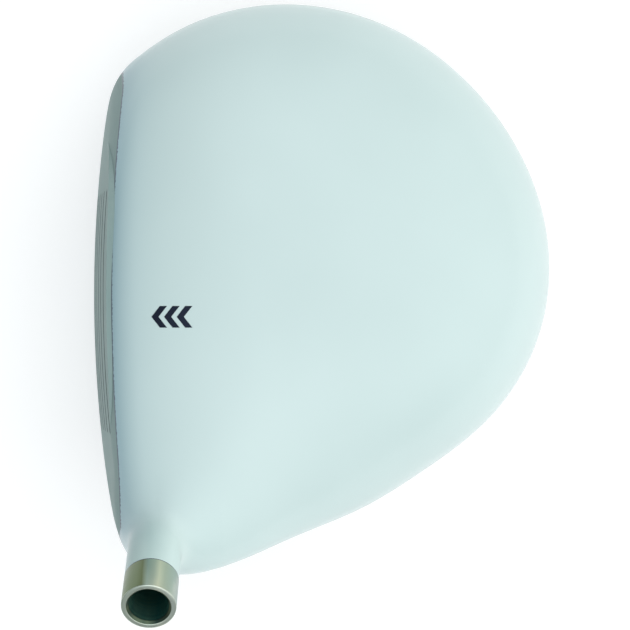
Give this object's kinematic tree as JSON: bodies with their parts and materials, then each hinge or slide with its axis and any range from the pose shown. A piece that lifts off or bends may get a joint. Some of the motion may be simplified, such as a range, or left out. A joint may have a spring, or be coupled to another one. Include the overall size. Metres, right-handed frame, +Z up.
{
  "type": "golf driver head",
  "caption": "Right-handed golf driver head with a hollow rounded body, lofted grooved face, angled hosel bore for a shaft tip and a screw-in sole weight.",
  "frame": {"origin": "middle of the flat rest on the sole, on the ground", "axes": "+X to the heel, where the hosel is, +Y to the rear, away from the face, +Z up"},
  "size_m": [0.141, 0.1103, 0.075],
  "materials": {
    "white_paint": "gloss white lacquer with a cool cast",
    "sole_metal": "satin brushed titanium",
    "face_metal": "satin brushed titanium, slightly green-grey",
    "dark_paint": "paint fill",
    "hosel_metal": "turned titanium",
    "plug_plastic": "moulded nylon",
    "inner_metal": "as-cast and turned titanium",
    "navy_paint": "printed film under clear lacquer",
    "hot_melt": "set hot-melt glue",
    "washer_rubber": "smooth rubber",
    "screw_steel": "turned steel"
  },
  "bodies": {
    "head": {"crown_plate": "white_paint", "skirt_band": "white_paint", "sole_plate": "sole_metal", "face_frame": "face_metal", "face_insert": "face_metal", "score_line_fill": "dark_paint", "hosel_neck": "white_paint", "hosel_tube": "hosel_metal", "hosel_plug": "plug_plastic", "hosel_brace": "inner_metal", "alignment_mark": "navy_paint", "toe_rib": "inner_metal", "centre_rib": "inner_metal", "heel_rib": "inner_metal", "rear_weight_pad": "inner_metal", "hot_melt_pad": "hot_melt", "weight_port": "inner_metal"},
    "weight_washer": {"weight_washer": "washer_rubber"},
    "weight_screw": {"weight_screw": "screw_steel"}
  },
  "joints": [
    {"name": "weight_travel", "type": "slide", "parent": "head", "child": "weight_washer", "axis": [0, 0.4067, -0.9135], "range_m": [0, 0.01]},
    {"name": "weight_turn", "type": "hinge", "parent": "weight_washer", "child": "weight_screw", "pos_m": [0, 0.04, 0.00666], "axis": [0, 0.4067, -0.9135], "range_deg": [0, 2880]}
  ],
  "couplings": [
    {"joint": "weight_turn", "follows": "weight_travel", "rad_per_m": 5026.5}
  ]
}
